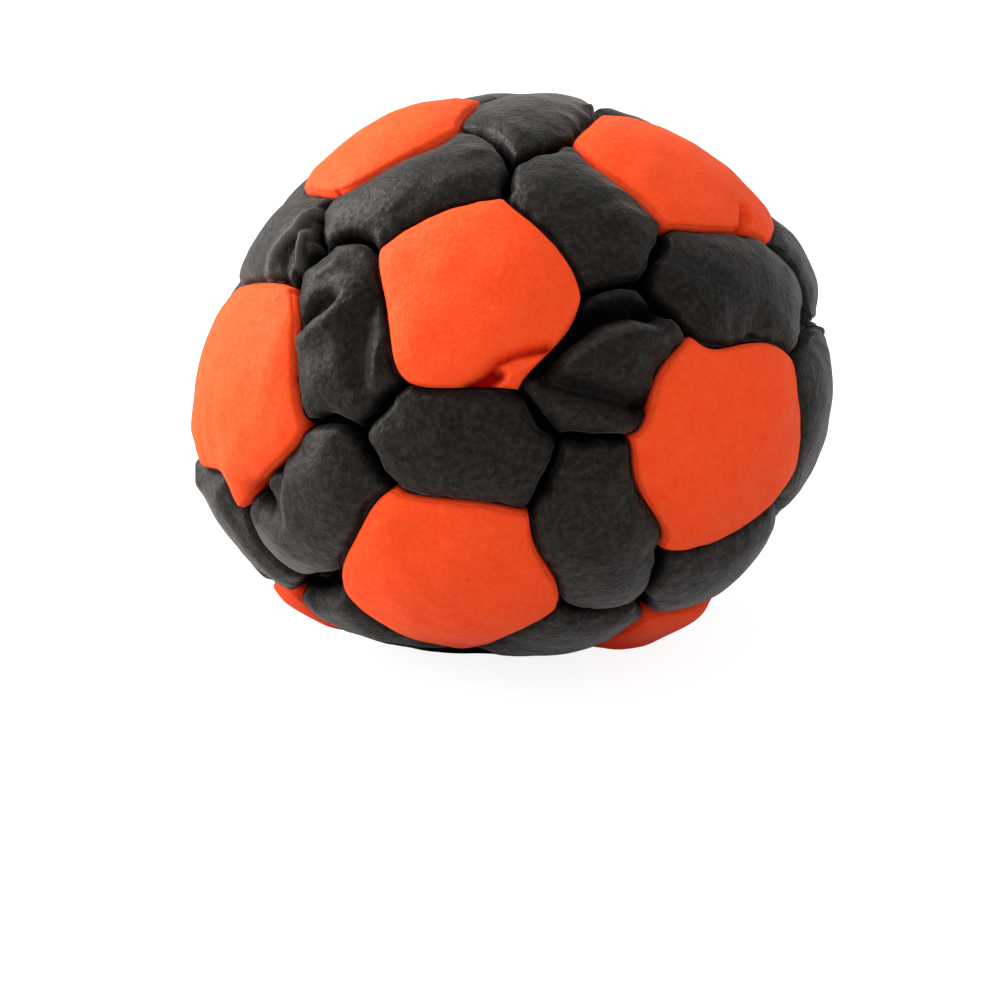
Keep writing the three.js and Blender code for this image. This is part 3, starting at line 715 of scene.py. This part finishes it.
def suede(name, base, nap, fibre, highlight_color, shade, tint, sheen, gloss):
    """Short-napped suede: brushed patches, mottled nap, loose light fibres and a velvet sheen, with
    painted shade in its hollows and on its underside and a painted highlight on ridge crests.
    """
    material, shader, add, link = new_material(name)
    coordinates = add("ShaderNodeTexCoord")

    def noise(x, y, z, detail=4):
        mapping = add("ShaderNodeMapping", Scale=(x, y, z))
        link(coordinates.outputs["Object"], mapping.inputs["Vector"])
        texture = add("ShaderNodeTexNoise", Scale=1.0, Detail=detail, Roughness=0.65)
        link(mapping.outputs["Vector"], texture.inputs["Vector"])
        return texture.outputs["Fac"]

    def spread(value, low, high):
        node = add("ShaderNodeMapRange")
        node.inputs["From Min"].default_value = low
        node.inputs["From Max"].default_value = high
        link(value, node.inputs["Value"])
        return node.outputs["Result"]

    def blend(share, first, second):
        node = add("ShaderNodeMix", data_type="RGBA")
        link(share, node.inputs[0])
        for socket, color in ((node.inputs[6], first), (node.inputs[7], second)):
            if isinstance(color, tuple):
                socket.default_value = (*color, 1)
            else:
                link(color, socket)
        return node.outputs[2]

    def calculate(operation, *values):
        node = add("ShaderNodeMath", operation=operation)
        for socket, value in zip(node.inputs, values):
            if isinstance(value, (int, float)):
                socket.default_value = value
            else:
                link(value, socket)
        return node.outputs[0]

    patches = noise(PATCH_FINENESS, PATCH_FINENESS, PATCH_FINENESS)
    mottle = noise(MOTTLE_FINENESS, MOTTLE_FINENESS, MOTTLE_FINENESS)
    fuzz = noise(FUZZ_FINENESS, FUZZ_FINENESS, FUZZ_FINENESS, detail=3)
    lengthwise = noise(STREAK_FINENESS, FUZZ_FINENESS, FUZZ_FINENESS)
    upright = noise(FUZZ_FINENESS, FUZZ_FINENESS, STREAK_FINENESS)
    streaks = calculate("MAXIMUM", lengthwise, upright)
    openness = add("ShaderNodeAttribute", attribute_name="open_share").outputs["Fac"]
    ridge_highlight = add("ShaderNodeAttribute", attribute_name="ridge_highlight").outputs["Fac"]
    color = blend(spread(patches, *PATCH_RANGE), base, nap)
    layers = (
        (mottle, MOTTLE_RANGE, MOTTLE_SHARE, fibre), (streaks, STREAK_RANGE, STREAK_SHARE, fibre),
        (ridge_highlight, HIGHLIGHT_RANGE, HIGHLIGHT_SHARE, highlight_color),
    )
    # The last layer paints a highlight along the crests of narrow ridges
    for pattern, pattern_range, share, layer in layers:
        color = blend(calculate("MULTIPLY", spread(pattern, *pattern_range), share), color, layer)
    # Painted shade: the colour turns to the shade colour where points lie closed to the light
    is_open = spread(openness, *OPEN_RANGE)
    link(blend(is_open, shade, color), shader.inputs["Base Color"])
    shader.inputs["Roughness"].default_value = 0.44
    shader.inputs["Specular Tint"].default_value = (1, 0.93, 0.86, 1)
    # Glints and sheen are also cut where points lie closed to the light, along with the painted shade
    glint = calculate("MULTIPLY", spread(mottle, *GLINT_RANGE), is_open)
    facing = add("ShaderNodeLayerWeight", Blend=0.5).outputs["Facing"]
    glint = calculate("MULTIPLY", glint, spread(facing, *EDGE_ON_RANGE))
    link(calculate("MULTIPLY", glint, gloss), shader.inputs["Specular IOR Level"])
    velvet = calculate("MULTIPLY", spread(openness, *SHEEN_RANGE), sheen)
    link(velvet, shader.inputs["Sheen Weight"])
    shader.inputs["Sheen Roughness"].default_value = 0.35
    shader.inputs["Sheen Tint"].default_value = (*tint, 1)
    height = calculate("ADD", calculate("MULTIPLY", fuzz, RELIEF_SHARE), mottle)
    height = calculate("MULTIPLY_ADD", streaks, RELIEF_SHARE, height)
    bump = add("ShaderNodeBump", Strength=0.5, Distance=0.0002)
    link(height, bump.inputs["Height"])
    link(bump.outputs["Normal"], shader.inputs["Normal"])
    return material


def plain_material(name, color):
    material, shader, _, _ = new_material(name)
    shader.inputs["Base Color"].default_value = (*color, 1)
    shader.inputs["Roughness"].default_value = 1
    shader.inputs["Specular IOR Level"].default_value = 0.1
    return material


def add_footbag():
    # Each suede's pale ridge colour is a painted highlight on ridge crests, and its shade colour is
    # painted shade in hollows and on the underside
    orange = suede(
        "orange_suede", base=(0.94, 0.07, 0.015), nap=(0.96, 0.08, 0.018), fibre=(0.97, 0.13, 0.035),
        highlight_color=(0.95, 0.2, 0.08), shade=(0.4, 0.005, 0.003), tint=(1.0, 0.5, 0.2),
        sheen=0.08, gloss=0.05,
    )
    charcoal = suede(
        "charcoal_suede", base=(0.0042, 0.0034, 0.0028), nap=(0.0072, 0.006, 0.005),
        fibre=(0.028, 0.024, 0.02), highlight_color=(0.09, 0.082, 0.075), shade=(0.0015, 0.0012, 0.001),
        tint=(1.0, 0.95, 0.9), sheen=0.24, gloss=0.19,
    )
    sand = plain_material("sand", (0.58, 0.42, 0.22))
    thread = plain_material("thread", (0.006, 0.005, 0.005))
    panels = [Panel(*outline, SEED + i) for i, outline in enumerate(panel_outlines())]
    for panel in panels:
        slot, material = ("orange_suede", orange) if panel.is_pentagon else ("charcoal_suede", charcoal)
        piece = add_piece(f"{panel.name}_suede", panel_mesh(panel), panel.name, slot, material)
    add_piece("filling", filling_mesh(panels), "sand_filling", "sand", sand)
    stitches = thread_curve("seam_stitches", seam_routes(panels), THREAD_DIAMETER)
    add_piece("seam_stitches", stitches, "seam_thread", "thread", thread)
    ladder = thread_curve("closing_stitches", [closing_route()], CLOSING_THREAD_DIAMETER)
    add_piece("closing_stitches", ladder, "closing_thread", "thread", thread)


def add_camera():
    """The camera of the reference view, which the pixels above belong to."""
    tilt = math.radians(VIEW_ELEVATION)
    camera = bpy.data.cameras.new("camera")
    camera.sensor_width = 36
    camera.lens = camera.sensor_width * PIXELS_ACROSS / PICTURE_SIZE * VIEW_DISTANCE / BAG_WIDTH
    camera.shift_x = 0.5 - PICTURE_MIDDLE[0] / PICTURE_SIZE
    camera.shift_y = PICTURE_MIDDLE[1] / PICTURE_SIZE - 0.5
    camera.clip_start = 0.01
    camera.clip_end = 50
    holder = bpy.data.objects.new("camera", camera)
    bpy.context.scene.collection.objects.link(holder)
    away = VIEW_DISTANCE * MM
    holder.location = (0, -away * math.cos(tilt), BELLY_HEIGHT * MM + away * math.sin(tilt))
    holder.rotation_euler = (math.pi / 2 - tilt, 0, 0)
    bpy.context.scene.camera = holder


def add_lamp(name, azimuth, elevation, power):
    """A round soft lamp that shines on the middle of the floor."""
    lamp = bpy.data.lights.new(name, "AREA")
    lamp.shape = "DISK"
    lamp.size = LAMP_SIZE
    lamp.energy = power
    holder = bpy.data.objects.new(name, lamp)
    bpy.context.scene.collection.objects.link(holder)
    holder.location = direction_at(azimuth, elevation) * LAMP_DISTANCE
    holder.rotation_euler = (math.pi / 2 - math.radians(elevation), 0, math.radians(azimuth))


def make_world():
    """White where the camera sees it, and a soft light on the object."""
    world = bpy.data.worlds.new("studio")
    world.use_nodes = True
    nodes, links = world.node_tree.nodes, world.node_tree.links
    rays = nodes.new("ShaderNodeLightPath")
    strength = nodes.new("ShaderNodeMath")
    strength.operation = "MAXIMUM"
    links.new(rays.outputs["Is Camera Ray"], strength.inputs[0])
    strength.inputs[1].default_value = AMBIENT
    links.new(strength.outputs[0], nodes["Background"].inputs["Strength"])
    nodes["Background"].inputs["Color"].default_value = (1, 1, 1, 1)
    bpy.context.scene.world = world


def add_floor():
    """A floor that is white where nothing shades it, and keeps the object's shadow."""
    mesh = bpy.data.meshes.new("floor")
    half = FLOOR_SIZE / 2
    corners = [(-half, -half, 0), (half, -half, 0), (half, half, 0), (-half, half, 0)]
    mesh.from_pydata(corners, [], [(0, 1, 2, 3)])
    material, shader, add, link = new_material("floor")
    shader.inputs["Base Color"].default_value = (*FLOOR_COLOR, 1)
    shader.inputs["Roughness"].default_value = 1
    shader.inputs["Specular IOR Level"].default_value = 0
    rays = add("ShaderNodeLightPath")
    seen = add("ShaderNodeMath", operation="MAXIMUM")
    link(rays.outputs["Is Camera Ray"], seen.inputs[0])
    link(rays.outputs["Is Glossy Ray"], seen.inputs[1])
    glow = add("ShaderNodeMath", operation="MULTIPLY")
    link(seen.outputs[0], glow.inputs[0])
    glow.inputs[1].default_value = FLOOR_GLOW
    white = add("ShaderNodeMath", operation="MAXIMUM")
    link(glow.outputs[0], white.inputs[0])
    white.inputs[1].default_value = FLOOR_BOUNCE
    shader.inputs["Emission Color"].default_value = (1, 1, 1, 1)
    link(white.outputs[0], shader.inputs["Emission Strength"])
    mesh.materials.append(material)
    floor = bpy.data.objects.new("floor", mesh)
    bpy.context.scene.collection.objects.link(floor)


add_footbag()
add_camera()
for name, lamp in LAMPS.items():
    add_lamp(name, *lamp)
make_world()
add_floor()
bpy.context.scene.view_settings.view_transform = "Standard"
